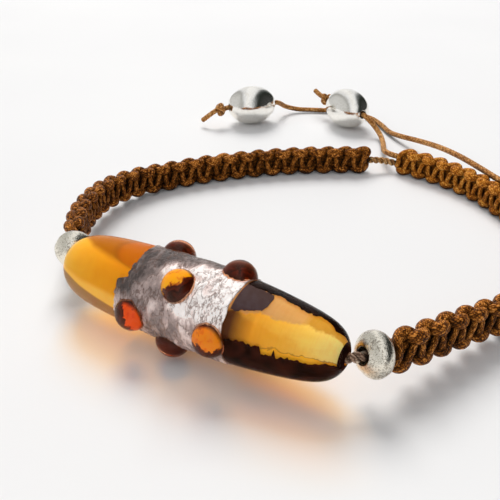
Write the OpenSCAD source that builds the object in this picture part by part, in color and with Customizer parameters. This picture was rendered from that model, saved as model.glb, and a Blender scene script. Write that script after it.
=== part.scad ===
// Sliding macrame bracelet with a long glass focal bead. Millimetres, Z up.
// The origin is the middle of the wrist opening, on the surface that the bracelet lies on.
// The focal bead lies along X at the front, and the sliding closure is at the back.

/* [Focal bead] */
// Length of the glass bead
glass_len = 36.8; // [34:0.2:38]
// Diameter of the glass bead at its middle
glass_d = 9.9; // [9:0.1:10.4]
// Diameter of the left end, before its rounding
left_end_d = 7.5; // [6:0.1:8]
// Diameter of the right end, before its rounding
right_end_d = 5.8; // [5:0.1:7]
// Diameter of the hole along the glass bead
glass_bore_d = 2.1; // [2:0.1:2.4]
// Height of the bead's axis over the surface
axis_z = 5.85; // [5.8:0.05:6.4]

/* [Silver leaf] */
// Left edge of the leaf, from the middle of the bead
leaf_left = -6.5; // [-8:0.1:-6]
// Right edge of the leaf, from the middle of the bead
leaf_right = 6.4; // [6:0.1:8]
// Thickness of the leaf with its clear coat
leaf_t = 0.2; // [0.15:0.05:0.3]

/* [Glass dots] */
// Diameter of one raised dot
dot_d = 4; // [3.4:0.1:4.2]
// How far a dot stands out of the leaf
dot_rise = 1.5; // [1.2:0.1:1.6]
// Distance between the three rings of dots
dot_ring_gap = 5; // [4.6:0.1:5.4]

/* [Silver beads] */
// Diameter of the round bead at each end of the glass
spacer_d = 5; // [4.4:0.1:5.2]
// Length of the round bead along its hole
spacer_len = 3.4; // [3:0.1:3.6]
// Diameter of the hole in the round bead
spacer_bore_d = 1.8; // [1.7:0.1:2]
// Length of the oval bead on each tail
oval_len = 10; // [8:0.2:10.4]
// Diameter of the oval bead
oval_d = 7.6; // [6:0.1:7.6]
// Diameter of the hole in the oval bead
oval_bore_d = 1.5; // [1.3:0.1:2]

/* [Cord and knots] */
// Diameter of the thin core cord and the tails
cord_d = 1; // [0.8:0.05:1.1]
// Width of the knotted band, which stands on its edge
band_w = 4.4; // [4:0.1:4.4]
// Thickness of the knotted band
band_t = 3.1; // [2.6:0.1:3.2]
// Depth of the notch between two knots on the band's edges
notch = 0.55; // [0.2:0.05:0.7]
// Half knots in the left band
left_half_knots = 43; // [39:2:47]
// Half knots in the right band
right_half_knots = 28; // [26:2:34]
// Half knots in the sliding knot
slide_half_knots = 17; // [15:2:19]
// Diameter of the round knot at the end of a tail
end_knot_d = 2.3; // [2:0.1:2.6]

/* [Hidden] */
$fn = 48;

// Middle of the wrist opening, in the routes' own frame, whose zero is under the focal bead.
loop_middle = [-0.2, 27.3, 0];
band_z = band_w / 2 + 0.05;
// Gap between fused pieces, and between the end of a band and the cord that comes out of it.
meet = 0.04;
end_gap = 0.08;

// The middle line of each stretch, as round numbers of X, Y and Z.
left_route = [[-22.1, 4, 5.2], [-24.4, 6.6, 5], [-26.8, 9.9, 4.75], [-29, 14, 4.35],
              [-30.8, 18.6, 3.8], [-31.5, 23.2, 3.2], [-31, 27.8, 2.7], [-29.3, 32.3, band_z],
              [-26.2, 37.2, band_z], [-22.6, 41.6, band_z], [-18.6, 45.8, band_z],
              [-13.6, 50.2, band_z], [-8.2, 53.9, band_z], [-3.7, 56.7, band_z]];
right_route = [[21.3, 4.1, 5.1], [22.1, 5.7, 4.9], [23.2, 8, 4.65], [24.4, 10.9, 4.3],
               [25.6, 13.7, 3.9], [27, 16.8, 3.5], [28.5, 19.9, 3.1], [29.9, 23.5, 2.7],
               [30.9, 27.5, band_z], [31.2, 31.5, band_z], [30.8, 35.7, band_z],
               [29.6, 39.8, band_z], [27.9, 43.4, band_z], [25.8, 46.6, band_z]];
slide_route = [[0.9, 59.3, band_z], [4, 59.1, band_z], [7.5, 58.5, band_z], [11, 57.4, band_z],
               [14.5, 55.9, band_z], [17.6, 54, band_z], [20.6, 51.6, band_z], [23.6, 48.8, band_z]];

// The two cords at an end of the sliding knot lie one above the other.
low_z = band_z - 0.65;
high_z = band_z + 0.65;
core_front_route = [[-22.1, 4, 5.2], [-20.6, 2.5, 5.35], [-19.5, 1.2, 5.6], [-18.4, 0.15, 5.85],
                    [-16.5, 0, axis_z], [-8, 0, axis_z], [0, 0, axis_z], [8, 0, axis_z],
                    [16.5, 0, axis_z], [18.2, 0.1, 5.9], [19.2, 0.9, 5.85], [20.2, 2.4, 5.6],
                    [21.3, 4.1, 5.1]];
core_left_route = [[-3.65, 56.73, band_z], [-2, 57.9, 2.1], [-0.9, 58.8, 1.8], [0.8, 59.3, low_z]];
core_right_route = [[23.65, 48.75, low_z], [24.7, 47.8, 1.8], [25.75, 46.65, band_z]];
tail_a_route = [[0.8, 59.3, high_z], [-1, 59.9, 2.8], [-2.8, 61.9, 2.3], [-4.2, 64.9, 1.6],
                [-5.8, 68.6, 1.1], [-7.8, 72, 1.2], [-9.7, 73.4, 2.2], [-11.2, 73.6, 3.3],
                [-12.5, 74.1, 3.8], [-14.8, 75.2, 3.8], [-17, 76.2, 3.8], [-19.2, 77.2, 3.8],
                [-21.5, 78.3, 3.8], [-23.2, 79.1, 3.9], [-25, 79.8, 4.3], [-26.6, 80.3, 5]];
tail_b_route = [[23.65, 48.75, high_z], [24.9, 48, 3.4], [26.7, 48.4, 4.2], [27.3, 50.2, 4.9],
                [25.9, 51.8, 5.2], [22.6, 52.6, 5.1], [19.3, 54.2, 4.7], [15.3, 58.1, 4.3],
                [10.6, 62.2, 4], [5.8, 66.3, 3.3], [0.8, 70, 2.3], [-4.2, 73.2, 1.3],
                [-7.4, 75.8, 0.7], [-10.4, 79, 0.6], [-13.5, 81.5, 0.6], [-17.5, 82.7, 0.6],
                [-22, 82.2, 0.6], [-26.3, 80.4, 0.6], [-29.4, 78.4, 0.8], [-31.2, 76.2, 1.7],
                [-31.3, 74.2, 2.8], [-31.2, 72.1, 3.7], [-32.7, 70.2, 3.8], [-34.6, 67.8, 3.8],
                [-36.5, 65.4, 3.8], [-38.2, 63.3, 3.7], [-39.4, 61.8, 3.4], [-40.6, 60.8, 2.4],
                [-42, 60.5, 1.2]];

// Where each drilled bead or knot sits on its cord, and the direction of its hole.
spacer_left_at = [-20.6, 2.5, 5.35];
spacer_left_along = [-0.7, 0.71, -0.12];
spacer_right_at = [20.2, 2.4, 5.6];
spacer_right_along = [0.5, 0.82, -0.24];
oval_a_at = [-17, 76.2, 3.8];
oval_a_along = [-0.905, 0.425, 0];
oval_b_at = [-34.6, 67.8, 3.8];
oval_b_along = [-0.62, -0.784, 0];
knot_a_at = [-23.2, 79.1, 3.9];
knot_a_along = [-0.9, 0.4, 0.12];
knot_b_at = [-38.8, 62.55, 3.57];
knot_b_along = [-0.62, -0.76, -0.2];

// Each dot: its place along the bead, in ring gaps from the middle, and its angle round the bead
// from the front. The dots were set by hand, so a few lie a little off their ring.
dots = [[-1.08, -8], [-0.9, 137], [-1, -118], [0, 54], [-0.2, -48], [0, 180], [1, 0], [0.94, 113],
        [1, -118]];

// Smooth curve through a list of points, cut in equal steps and measured.
function curve_at(p, i, t) =
    let (a = p[max(i - 1, 0)], b = p[i], c = p[i + 1], d = p[min(i + 2, len(p) - 1)])
    0.5 * (2 * b + (c - a) * t + (2 * a - 5 * b + 4 * c - d) * t * t
           + (3 * b - a - 3 * c + d) * t * t * t);
function curve(p, cuts = 8) =
    concat([for (i = [0:len(p) - 2]) for (k = [0:cuts - 1]) curve_at(p, i, k / cuts)],
           [p[len(p) - 1]]);
function runs(c) =
    [for (i = 0, s = 0; i < len(c); s = s + norm(c[min(i + 1, len(c) - 1)] - c[i]), i = i + 1) s];
function tables(c, s) = [for (axis = [0:2]) [for (i = [0:len(c) - 1]) [s[i], c[i][axis]]]];
function along(t, s) = [lookup(s, t[0]), lookup(s, t[1]), lookup(s, t[2])];
function unit(v) = v / norm(v);

// Frame at a distance along a route: the point, the way out to the side, and the way up.
function frame_at(t, s, reach) =
    let (way = unit(along(t, min(s + 0.3, reach)) - along(t, max(s - 0.3, 0))),
         side = unit(cross(way, [0, 0, 1])))
    [along(t, s), side, cross(side, way)];

// One solid through rings of the same number of points.
module skin(rings) {
    sides = len(rings[0]);
    last = len(rings) - 1;
    polyhedron(
        points = [for (ring = rings) each ring],
        faces = concat(
            [for (k = [1:sides - 2]) [0, k, k + 1]],
            [for (k = [1:sides - 2]) [last * sides, last * sides + k + 1, last * sides + k]],
            [for (i = [0:last - 1]) for (k = [0:sides - 1])
                each [[i * sides + k, (i + 1) * sides + k, (i + 1) * sides + (k + 1) % sides],
                      [i * sides + k, (i + 1) * sides + (k + 1) % sides, i * sides + (k + 1) % sides]]]));
}

// Round cord along a route, with a ring about every two and a half diameters.
module cord(route, sides = 8, step = 2.8) {
    line = curve(route);
    s = runs(line);
    reach = s[len(s) - 1];
    t = tables(line, s);
    rings = ceil(reach / step);
    skin([for (i = [0:rings])
        let (f = frame_at(t, reach * i / rings, reach))
        [for (k = [0:sides - 1]) let (angle = 360 * k / sides)
            f[0] + (f[1] * cos(angle) + f[2] * sin(angle)) * cord_d / 2]]);
}

// Half width of a flat knotted band: the edge bumps of one side sit between those of the other,
// and each half knot lays one bar across both faces.
function bump(turns) = (1 + cos(360 * turns)) / 2;
function end_taper(half_knots_in) = min(1, 0.72 + 0.56 * half_knots_in);
function band_point(angle, knots, taper) =
    let (upper = sin(angle) > 0,
         edge = band_w / 2 - notch * (1 - bump(knots + (upper ? 0 : 0.5))),
         face = band_t / 2 - notch / 2 * (1 - bump(2 * knots)))
    [sign(cos(angle)) * pow(abs(cos(angle)), 0.7) * face * taper,
     sign(sin(angle)) * pow(abs(sin(angle)), 0.7) * edge * taper];

// Square-knot band along a route: one closed solid with its knots as bumps.
module knotted_band(route, half_knots, sides = 12, rings_per_half = 4) {
    line = curve(route);
    s = runs(line);
    reach = s[len(s) - 1];
    t = tables(line, s);
    rings = half_knots * rings_per_half;
    skin([for (i = [0:rings])
        let (f = frame_at(t, end_gap + (reach - 2 * end_gap) * i / rings, reach),
             from_end = min(i, rings - i) / rings_per_half)
        [for (k = [0:sides - 1])
            let (p = band_point(360 * (k + 0.5) / sides, i / rings_per_half / 2, end_taper(from_end)))
            f[0] + f[1] * p[0] + f[2] * p[1]]]);
}

// Radius of the glass bead at a share of its half length, from -1 at the left to 1 at the right.
function glass_r(u) =
    let (end_d = u < 0 ? left_end_d : right_end_d,
         rounding = u < 0 ? 11 : 16)
    (glass_d / 2 - (glass_d - end_d) / 2 * u * u) * sqrt(1 - pow(abs(u), rounding));
function radius_at(x) = glass_r(2 * x / glass_len);

// Stations along the bead, closer together towards the two rounded ends.
stations = [for (k = [-15:15]) sin(90 * k / 15)];
function leaf_stations(from, to) = [for (k = [0:6]) from + (to - from) * k / 6];

module along_x() {
    rotate([0, 90, 0]) children();
}

module place(at, way) {
    translate(at) rotate([0, acos(way[2] / norm(way)), atan2(way[1], way[0])]) children();
}

// The whole outside of the bead, grown by a little, for cutting the dots to it.
module bead_form(grow) {
    translate([0, 0, axis_z]) along_x()
        rotate_extrude()
            polygon(concat([[0, -glass_len / 2 - grow]],
                           [for (u = stations) [max(glass_r(u), 0.01) + grow, u * glass_len / 2]],
                           [[0, glass_len / 2 + grow]]));
}

module glass_bead() {
    color([0.82, 0.5, 0.1, 0.7])
        translate([0, 0, axis_z]) along_x()
            rotate_extrude()
                difference() {
                    polygon(concat([[0, -glass_len / 2]],
                                   [for (u = stations) [max(glass_r(u), 0.01), u * glass_len / 2]],
                                   [[0, glass_len / 2]]));
                    translate([-1, -glass_len])
                        square([1 + glass_bore_d / 2, 2 * glass_len]);
                    polygon(concat([for (x = leaf_stations(leaf_left - meet, leaf_right + meet))
                                        [radius_at(x) - leaf_t - meet, x]],
                                   [[glass_d, leaf_right + meet], [glass_d, leaf_left - meet]]));
                }
}

module silver_leaf() {
    across = leaf_stations(leaf_left, leaf_right);
    color([0.78, 0.76, 0.75])
        translate([0, 0, axis_z]) along_x()
            rotate_extrude()
                polygon(concat([for (x = across) [radius_at(x), x]],
                               [for (k = [len(across) - 1:-1:0])
                                   [radius_at(across[k]) - leaf_t, across[k]]]));
}

module glass_dot(i) {
    x = dots[i][0] * dot_ring_gap;
    angle = dots[i][1];
    out = radius_at(x) + dot_rise - dot_d / 2;
    color([0.5, 0.18, 0.03])
        difference() {
            translate([x, -out * cos(angle), axis_z + out * sin(angle)]) sphere(d = dot_d);
            bead_form(meet);
        }
}

// Flattened round bead with a straight hole.
module drilled_oval(length, diameter, bore) {
    difference() {
        rotate_extrude()
            polygon([for (k = [0:16]) let (angle = 180 * k / 16 - 90)
                [diameter / 2 * abs(cos(angle)), length / 2 * sin(angle)]]);
        cylinder(d = bore, h = 2 * length, center = true);
    }
}

module spacer_bead(at, way) {
    color([0.8, 0.79, 0.75]) place(at, way) drilled_oval(spacer_len, spacer_d, spacer_bore_d);
}

module oval_bead(at, way) {
    color([0.85, 0.84, 0.8]) place(at, way) drilled_oval(oval_len, oval_d, oval_bore_d);
}

module end_knot(at, way) {
    color([0.55, 0.33, 0.12]) place(at, way) drilled_oval(end_knot_d, end_knot_d, cord_d + 0.4);
}

module core(route) {
    color([0.45, 0.32, 0.24]) cord(route);
}

module tail(route) {
    color([0.66, 0.42, 0.2]) cord(route);
}

module band(route, half_knots) {
    color([0.5, 0.29, 0.09]) knotted_band(route, half_knots);
}

translate(-loop_middle) {
    glass_bead();
    silver_leaf();
    for (i = [0:len(dots) - 1])
        glass_dot(i);
    spacer_bead(spacer_left_at, spacer_left_along);  // spacer_left
    spacer_bead(spacer_right_at, spacer_right_along);  // spacer_right
    core(core_front_route);  // core_front
    core(core_left_route);  // core_left
    core(core_right_route);  // core_right
    band(left_route, left_half_knots);  // band_left
    band(right_route, right_half_knots);  // band_right
    band(slide_route, slide_half_knots);  // slide_knot
    tail(tail_a_route);  // tail_a
    tail(tail_b_route);  // tail_b
    oval_bead(oval_a_at, oval_a_along);  // oval_bead_a
    oval_bead(oval_b_at, oval_b_along);  // oval_bead_b
    end_knot(knot_a_at, knot_a_along);  // end_knot_a
    end_knot(knot_b_at, knot_b_along);  // end_knot_b
}
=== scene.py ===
# Looks of a sliding macrame bracelet with a long glass focal bead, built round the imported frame.
import math

import bpy
import numpy as np
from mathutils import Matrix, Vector, noise


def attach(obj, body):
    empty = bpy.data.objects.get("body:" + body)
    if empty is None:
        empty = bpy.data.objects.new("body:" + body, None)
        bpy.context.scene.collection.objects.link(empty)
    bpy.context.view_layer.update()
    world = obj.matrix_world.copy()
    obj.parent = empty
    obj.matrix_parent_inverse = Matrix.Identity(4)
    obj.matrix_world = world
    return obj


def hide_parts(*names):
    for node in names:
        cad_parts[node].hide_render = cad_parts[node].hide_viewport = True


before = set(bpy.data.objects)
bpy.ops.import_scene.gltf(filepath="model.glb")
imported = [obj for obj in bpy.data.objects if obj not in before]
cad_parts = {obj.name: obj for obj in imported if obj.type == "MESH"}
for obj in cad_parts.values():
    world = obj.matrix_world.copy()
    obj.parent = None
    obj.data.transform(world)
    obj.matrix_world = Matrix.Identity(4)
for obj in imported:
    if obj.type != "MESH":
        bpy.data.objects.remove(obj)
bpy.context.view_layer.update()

# Sizes of the solids, repeated in metres.
MM = 0.001
LOOP_MIDDLE = np.array([-0.2, 27.3, 0.0]) * MM
GLASS_LEN = 36.8 * MM
GLASS_D = 9.9 * MM
LEFT_END_D = 7.5 * MM
RIGHT_END_D = 5.8 * MM
GLASS_BORE_R = 1.05 * MM
LEAF_LEFT = -6.5 * MM
LEAF_RIGHT = 6.4 * MM
LEAF_T = 0.2 * MM
DOT_R = 2 * MM
DOT_RISE = 1.5 * MM
DOT_RING_GAP = 5 * MM
SPACER_R = 2.5 * MM
SPACER_LEN = 3.4 * MM
SPACER_BORE_R = 0.9 * MM
OVAL_LEN = 10 * MM
OVAL_R = 3.8 * MM
OVAL_BORE_R = 0.75 * MM
TAIL_A_LENGTH = 37 * MM
TAIL_B_LENGTH = 100 * MM
# Heights on the routes, in millimetres: middle of the bands, lower and upper cord in the sliding
# knot, and hole of the glass bead.
BAND_Z = 2.25
LOW_Z = BAND_Z - 0.65
HIGH_Z = BAND_Z + 0.65
BEAD_Z = 5.85

# Sizes of the looks alone, in metres: spacing of a cord's rings, and the strands that it is made of.
CORD_STEP = 0.12 * MM
TAIL_R = 0.48 * MM
KNOT_STRAND_R = 0.46 * MM
KNOT_SIZE = 0.31 * MM
BAND_CORE_R = 0.55 * MM
PLY_R = 0.33 * MM
PLY_OFFSET = 0.27 * MM
PLY_PITCH = 1.9 * MM
# Rounded rim of a drilled bead's hole, and size of the dents in silver.
RIM_R = 0.14 * MM
RIM_DEPTH = 0.6 * RIM_R
DENT_SIZE = 1.1 * MM
# Powers that shape the ends of the glass bead: the higher, the blunter.
LEFT_END_BLUNTNESS = 11.0
RIGHT_END_BLUNTNESS = 16.0
# Least glass round the hole, play of the leaf in its seat, and the honey core's wall and its play
# round the hole.
LEAST_WALL = 0.12 * MM
SEAT_PLAY = 0.02 * MM
CORE_WALL = 0.25 * MM
CORE_PLAY = 0.03 * MM
# Thickness of a sheet of painted shade in the glass, and the heart of a dot.
LAYER_T = 0.08 * MM
HEART_R = 0.97 * DOT_R
HEART_RISE = 0.6 * DOT_RISE
HEART_RIM = 0.95 * DOT_R

# Camera of the photograph's viewing angle.
CAMERA_AT = Vector((39.1, -78.6, 49.3)) * MM
CAMERA_LOOK = Vector((-0.458, 0.738, -0.496))
CAMERA_LENS = 50.4
# Broad soft lamp, behind on the left.
WINDOW_AT = Vector((-1.0, 1.3, 1.9))
WINDOW_SIZE = (1.1, 1.3)
WINDOW_WATTS = 53.0
WINDOW_COLOUR = (1.0, 0.98, 0.95)
# Direction across the bright band of sky, which runs along the view, and the sky's colours from left
# to right.
SKY_ACROSS = Vector((0.85, 0.527, 0.0))
SKY_STOPS = [(0.0, (0.7, 0.7, 0.7)), (0.2, (0.62, 0.62, 0.61)), (0.28, (0.4, 0.4, 0.39)),
             (0.36, (0.85, 0.86, 0.88)), (0.5, (1.05, 1.05, 1.05)), (0.65, (0.85, 0.86, 0.88)),
             (0.72, (0.16, 0.17, 0.17)), (0.8, (0.02, 0.024, 0.02)), (1.0, (0.06, 0.06, 0.06))]
SKY_STRENGTH = 0.92
BACKDROP = (0.88, 0.88, 0.89, 1.0)
FLOOR_HALF = 3.0


def route(points):
    """Points in millimetres, in the routes' own frame, as metres in the row frame."""
    return np.array(points, float) * MM - LOOP_MIDDLE


LEFT_ROUTE = route([
    [-22.1, 4, 5.2], [-24.4, 6.6, 5], [-26.8, 9.9, 4.75], [-29, 14, 4.35], [-30.8, 18.6, 3.8],
    [-31.5, 23.2, 3.2], [-31, 27.8, 2.7], [-29.3, 32.3, BAND_Z], [-26.2, 37.2, BAND_Z],
    [-22.6, 41.6, BAND_Z], [-18.6, 45.8, BAND_Z], [-13.6, 50.2, BAND_Z], [-8.2, 53.9, BAND_Z],
    [-3.7, 56.7, BAND_Z]])
RIGHT_ROUTE = route([
    [21.3, 4.1, 5.1], [22.1, 5.7, 4.9], [23.2, 8, 4.65], [24.4, 10.9, 4.3], [25.6, 13.7, 3.9],
    [27, 16.8, 3.5], [28.5, 19.9, 3.1], [29.9, 23.5, 2.7], [30.9, 27.5, BAND_Z],
    [31.2, 31.5, BAND_Z], [30.8, 35.7, BAND_Z], [29.6, 39.8, BAND_Z], [27.9, 43.4, BAND_Z],
    [25.8, 46.6, BAND_Z]])
SLIDE_ROUTE = route([
    [0.9, 59.3, BAND_Z], [4, 59.1, BAND_Z], [7.5, 58.5, BAND_Z], [11, 57.4, BAND_Z],
    [14.5, 55.9, BAND_Z], [17.6, 54, BAND_Z], [20.6, 51.6, BAND_Z], [23.6, 48.8, BAND_Z]])
CORE_FRONT_ROUTE = route([
    [-22.1, 4, 5.2], [-20.6, 2.5, 5.35], [-19.5, 1.2, 5.6], [-18.4, 0.15, 5.85], [-16.5, 0, BEAD_Z],
    [-8, 0, BEAD_Z], [0, 0, BEAD_Z], [8, 0, BEAD_Z], [16.5, 0, BEAD_Z], [18.2, 0.1, 5.9],
    [19.2, 0.9, 5.85], [20.2, 2.4, 5.6], [21.3, 4.1, 5.1]])
CORE_LEFT_ROUTE = route([
    [-3.65, 56.73, BAND_Z], [-2, 57.9, 2.1], [-0.9, 58.8, 1.8], [0.8, 59.3, LOW_Z]])
CORE_RIGHT_ROUTE = route([[23.65, 48.75, LOW_Z], [24.7, 47.8, 1.8], [25.75, 46.65, BAND_Z]])
TAIL_A_ROUTE = route([
    [0.8, 59.3, HIGH_Z], [-1, 59.9, 2.8], [-2.8, 61.9, 2.3], [-4.2, 64.9, 1.6], [-5.8, 68.6, 1.1],
    [-7.8, 72, 1.2], [-9.7, 73.4, 2.2], [-11.2, 73.6, 3.3], [-12.5, 74.1, 3.8], [-14.8, 75.2, 3.8],
    [-17, 76.2, 3.8], [-19.2, 77.2, 3.8], [-21.5, 78.3, 3.8], [-23.2, 79.1, 3.9], [-25, 79.8, 4.3],
    [-26.6, 80.3, 5]])
TAIL_B_ROUTE = route([
    [23.65, 48.75, HIGH_Z], [24.9, 48, 3.4], [26.7, 48.4, 4.2], [27.3, 50.2, 4.9], [25.9, 51.8, 5.2],
    [22.6, 52.6, 5.1], [19.3, 54.2, 4.7], [15.3, 58.1, 4.3], [10.6, 62.2, 4], [5.8, 66.3, 3.3],
    [0.8, 70, 2.3], [-4.2, 73.2, 1.3], [-7.4, 75.8, 0.7], [-10.4, 79, 0.6], [-13.5, 81.5, 0.6],
    [-17.5, 82.7, 0.6], [-22, 82.2, 0.6], [-26.3, 80.4, 0.6], [-29.4, 78.4, 0.8], [-31.2, 76.2, 1.7],
    [-31.3, 74.2, 2.8], [-31.2, 72.1, 3.7], [-32.7, 70.2, 3.8], [-34.6, 67.8, 3.8],
    [-36.5, 65.4, 3.8], [-38.2, 63.3, 3.7], [-39.4, 61.8, 3.4], [-40.6, 60.8, 2.4], [-42, 60.5, 1.2]])

BEAD_MIDDLE = route([0, 0, BEAD_Z])
ALONG_BEAD = np.array([1.0, 0.0, 0.0])
# Where each drilled bead or knot sits on its cord, and the direction of its hole.
SPACERS = {
    "spacer_left": ([-20.6, 2.5, 5.35], [-0.7, 0.71, -0.12]),
    "spacer_right": ([20.2, 2.4, 5.6], [0.5, 0.82, -0.24]),
}
OVALS = {
    "oval_bead_a": ([-17, 76.2, 3.8], [-0.905, 0.425, 0]),
    "oval_bead_b": ([-34.6, 67.8, 3.8], [-0.62, -0.784, 0]),
}
END_KNOTS = {
    "end_knot_a": ([-23.2, 79.1, 3.9], [-0.9, 0.4, 0.12]),
    "end_knot_b": ([-38.8, 62.55, 3.57], [-0.62, -0.76, -0.2]),
}
# Each dot: its place along the bead in ring gaps, its angle round the bead from the front, the way
# that its painted lit side faces, in degrees round its own crown, how much of it is painted lit, and
# the colour of its painted lit side.
DOTS = [(-1.08, -8, 30, 0.5, "ember"), (-0.9, 137, 350, 0.12, "ember"), (-1, -118, 90, 0.4, "orange"),
        (0, 54, 145, 0.54, "gold"), (-0.2, -48, 330, -0.05, "ember"), (0, 180, 40, 0.4, "gold"),
        (1, 0, 85, 0.5, "orange"), (0.94, 113, 330, 0.12, "ember"), (1, -118, 10, 0.4, "ember")]
# Painted lit colour of a dot's heart, in the dot's own hue, and the colour of its painted half-lit border.
DOT_COLOURS = {
    "gold": ((1.0, 0.85, 0.02), (0.5, 0.17, 0.006)),
    "orange": ((1.0, 0.5, 0.03), (0.33, 0.09, 0.006)),
    "ember": ((1.0, 0.18, 0.025), (0.24, 0.04, 0.01)),
}

# Knotting strand's way from the middle of a bar on one face over the edge of the band to the top of
# the loop there: millimetres along, across and out of the band, and the soft cord's radius, which
# is squeezed in the bars and full in the loops.
BAR_TO_LOOP = [(0, 0, 0.84, 0.42), (-0.12, 0.5, 0.84, 0.42), (-0.28, 0.9, 0.58, 0.46),
               (-0.36, 1.2, 0.12, 0.53), (-0.12, 1.42, -0.28, 0.63), (0.32, 1.48, -0.5, 0.76),
               (0.8, 1.48, -0.56, 0.82)]
# Millimetres from the end of a band to its first bar.
FIRST_BAR = 0.75
# Millimetres that the loops lean along the band for each millimetre above its middle, and that
# they slip back for each millimetre towards the outer face.
LEAN = 0.1
SLIP = 0.5
# A band's straight core cords: their places across it, and their inset from its ends, in millimetres.
BAND_CORES = (-0.6, 0.0, 0.6)
CORE_INSET = 0.4
LEFT_HALF_KNOTS = 43
RIGHT_HALF_KNOTS = 28
SLIDE_HALF_KNOTS = 17


def unit(v):
    """The vectors at length 1."""
    return v / np.linalg.norm(v, axis=-1, keepdims=True)


def smooth(points, cuts=8):
    """Catmull-Rom curve through the points, as the solids' routes are drawn."""
    p = np.vstack([points[:1], points, points[-1:]])
    t = (np.arange(cuts) / cuts)[None, :, None]
    a, b, c, d = p[:-3, None], p[1:-2, None], p[2:-1, None], p[3:, None]
    line = 0.5 * (2 * b + (c - a) * t + (2 * a - 5 * b + 4 * c - d) * t ** 2
                  + (3 * b - a - 3 * c + d) * t ** 3)
    return np.vstack([line.reshape(-1, points.shape[1]), points[-1:]])


def arc_lengths(line):
    """Distance along a line at each of its points."""
    return np.concatenate([[0], np.cumsum(np.linalg.norm(np.diff(line, axis=0), axis=1))])


def resample(line, step=CORD_STEP):
    """The same line with evenly spaced points."""
    s = arc_lengths(line)
    wanted = np.linspace(0, s[-1], max(int(round(s[-1] / step)), 2) + 1)
    return np.stack([np.interp(wanted, s, line[:, k]) for k in range(3)], axis=1)


class Along:
    """A route with its length, and the frame at any distance along it: point, side and up."""

    def __init__(self, points):
        self.line = smooth(points)
        self.s = arc_lengths(self.line)
        self.reach = self.s[-1]

    def at(self, s):
        return np.stack([np.interp(s, self.s, self.line[:, k]) for k in range(3)], axis=-1)

    def frames(self, s):
        near = 0.6 * MM
        way = unit(self.at(np.minimum(s + near, self.reach)) - self.at(np.maximum(s - near, 0)))
        side = unit(np.cross(way, [0, 0, 1]))
        over = np.clip(s - self.reach, 0, None) + np.clip(s, None, 0)
        return self.at(s) + way * over[:, None], side, np.cross(side, way)


def transported(points):
    """Two directions across a line at each of its points, which don't twist round it."""
    way = unit(np.gradient(points, axis=0))
    across = np.empty_like(points)
    start = np.cross(way[0], [0.0, 0.0, 1.0])
    if np.linalg.norm(start) < 0.1:
        start = np.cross(way[0], [0.0, 1.0, 0.0])
    across[0] = start / np.linalg.norm(start)
    for i in range(1, len(points)):
        v = across[i - 1] - way[i] * np.dot(across[i - 1], way[i])
        across[i] = v / math.sqrt(np.dot(v, v))
    return across, np.cross(way, across)


def add_object(name, data):
    """A new object in the scene."""
    made = bpy.data.objects.new(name, data)
    bpy.context.scene.collection.objects.link(made)
    return made


class Shape:
    """Collects grids of points as one mesh, with a map of millimetres along and turns round."""

    def __init__(self):
        self.points, self.faces, self.uvs = [], [], []
        self.count = 0

    def grid(self, rings, u=None, capped=True):
        """Closed rings of equal numbers of points, each joined to the next, with u along them."""
        n, sides = rings.shape[:2]
        u = np.arange(n, dtype=float) if u is None else u
        base = self.count
        i, k = np.meshgrid(np.arange(n - 1), np.arange(sides), indexing="ij")
        i, k = i.ravel(), k.ravel()
        k2 = (k + 1) % sides
        quads = np.stack([i * sides + k, i * sides + k2, (i + 1) * sides + k2, (i + 1) * sides + k], 1)
        v, v2 = k / sides, (k + 1) / sides
        maps = np.stack([u[i], v, u[i], v2, u[i + 1], v2, u[i + 1], v], 1)
        self.points.append(rings.reshape(-1, 3))
        self.faces.extend((quads + base).tolist())
        self.uvs.extend(maps.reshape(-1, 2).tolist())
        self.count += n * sides
        if capped:
            for ring, order in ((0, -1), (n - 1, 1)):
                loop = [base + ring * sides + j for j in range(sides)][::order]
                self.faces.append(loop)
                self.uvs.extend([(u[ring], 0.5)] * sides)
        return self

    def tube(self, line, radius, sides, relief=None, taper=0.0):
        """Round cord along a line, of one radius or one for each point of the line, with its ends
        rounded over the length taper. relief(u, v) gives a share by which the radius grows."""
        a, b = transported(line)
        s = arc_lengths(line) / MM
        angle = np.arange(sides) / sides
        size = np.zeros((len(line), sides)) + np.reshape(radius, (-1, 1))
        if relief is not None:
            size = size * (1 + relief(s[:, None], angle[None, :]))
        if taper:
            from_end = np.minimum(s, s[-1] - s) * MM / taper
            size = size * np.sqrt(np.clip(from_end * (2 - np.clip(from_end, 0, 1)), 0.03, 1))[:, None]
        turn = 2 * np.pi * angle
        rings = (line[:, None] + size[..., None] * (np.cos(turn)[None, :, None] * a[:, None]
                                                    + np.sin(turn)[None, :, None] * b[:, None]))
        return self.grid(rings, s)

    def build(self, name, material, slot, *replaced):
        """Makes the mesh a piece, which stands for the replaced nodes."""
        mesh = bpy.data.meshes.new(name)
        mesh.from_pydata(np.vstack(self.points).tolist(), [], self.faces)
        layer = mesh.uv_layers.new(name="along")
        layer.data.foreach_set("uv", np.array(self.uvs, dtype=np.float32).ravel())
        mesh.polygons.foreach_set("use_smooth", [True] * len(mesh.polygons))
        mesh.materials.append(material)
        mesh.validate()
        piece = add_object(name, mesh)
        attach(piece, "root")
        if replaced:
            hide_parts(*replaced)
        return piece


def set_stops(ramp, stops):
    """Gives a colour ramp its (position, colour) stops."""
    while len(ramp.elements) < len(stops):
        ramp.elements.new(0.5)
    for element, (position, colour) in zip(ramp.elements, stops):
        element.position = position
        element.color = (*colour, 1.0)


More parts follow.
